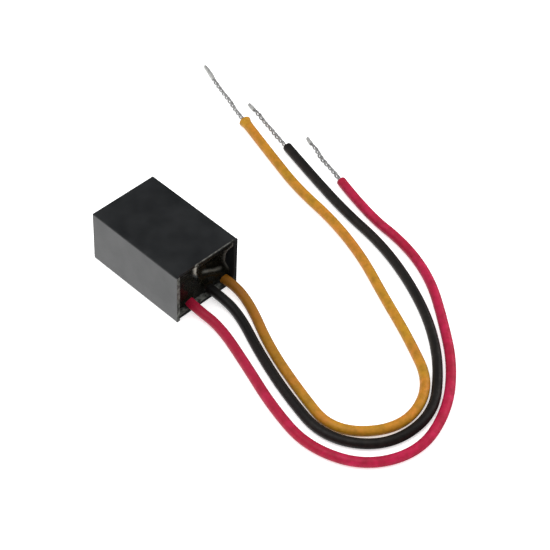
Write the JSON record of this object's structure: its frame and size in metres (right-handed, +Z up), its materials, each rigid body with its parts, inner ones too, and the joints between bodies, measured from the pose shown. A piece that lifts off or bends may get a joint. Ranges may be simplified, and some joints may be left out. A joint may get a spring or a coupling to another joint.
{
  "type": "surge protection module",
  "caption": "Small potted surge protector in an open-ended black box, with flexible stripped leads to wire across a supply.",
  "frame": {"origin": "centre of the box's underside", "axes": "+Z up, open end of the box and its leads towards -Y, yellow lead on the +X side"},
  "size_m": [0.0845, 0.1465, 0.0168],
  "materials": {
    "case_plastic": "moulded satin black",
    "resin": "glossy cast epoxy",
    "board": "glass epoxy laminate with green solder mask",
    "copper": "copper foil",
    "solder": "bright tin solder",
    "zinc_oxide": "sintered grey ceramic",
    "silver": "fired silver",
    "tinned_wire": "tinned copper wire",
    "blue_epoxy": "dipped epoxy powder",
    "fuse_can": "drawn metal can",
    "seal_epoxy": "cast epoxy bead",
    "sleeve_plastic": "heat-shrink tube",
    "red_pvc": "extruded PVC",
    "black_pvc": "extruded PVC",
    "yellow_pvc": "extruded PVC",
    "lead_core": "tinned stranded copper"
  },
  "bodies": {
    "root": {"case_shell": "case_plastic", "potting_resin": "resin", "circuit_board": "board", "copper_tracks": "copper", "component_solder_joints": "solder", "varistor_1_disc": "zinc_oxide", "varistor_1_electrodes": "silver", "varistor_1_legs": "tinned_wire", "varistor_1_coating": "blue_epoxy", "varistor_2_disc": "zinc_oxide", "varistor_2_electrodes": "silver", "varistor_2_legs": "tinned_wire", "varistor_2_coating": "blue_epoxy", "varistor_3_disc": "zinc_oxide", "varistor_3_electrodes": "silver", "varistor_3_legs": "tinned_wire", "varistor_3_coating": "blue_epoxy", "thermal_fuse_1_can": "fuse_can", "thermal_fuse_1_epoxy_seal": "seal_epoxy", "thermal_fuse_1_legs": "tinned_wire", "thermal_fuse_1_sleeve": "sleeve_plastic", "thermal_fuse_2_can": "fuse_can", "thermal_fuse_2_epoxy_seal": "seal_epoxy", "thermal_fuse_2_legs": "tinned_wire", "thermal_fuse_2_sleeve": "sleeve_plastic", "red_lead_jacket": "red_pvc", "red_lead_core": "lead_core", "red_lead_solder_tip": "solder", "red_lead_solder_joint": "solder", "black_lead_jacket": "black_pvc", "black_lead_core": "lead_core", "black_lead_solder_tip": "solder", "black_lead_solder_joint": "solder", "yellow_lead_jacket": "yellow_pvc", "yellow_lead_core": "lead_core", "yellow_lead_solder_tip": "solder", "yellow_lead_solder_joint": "solder"}
  },
  "joints": []
}
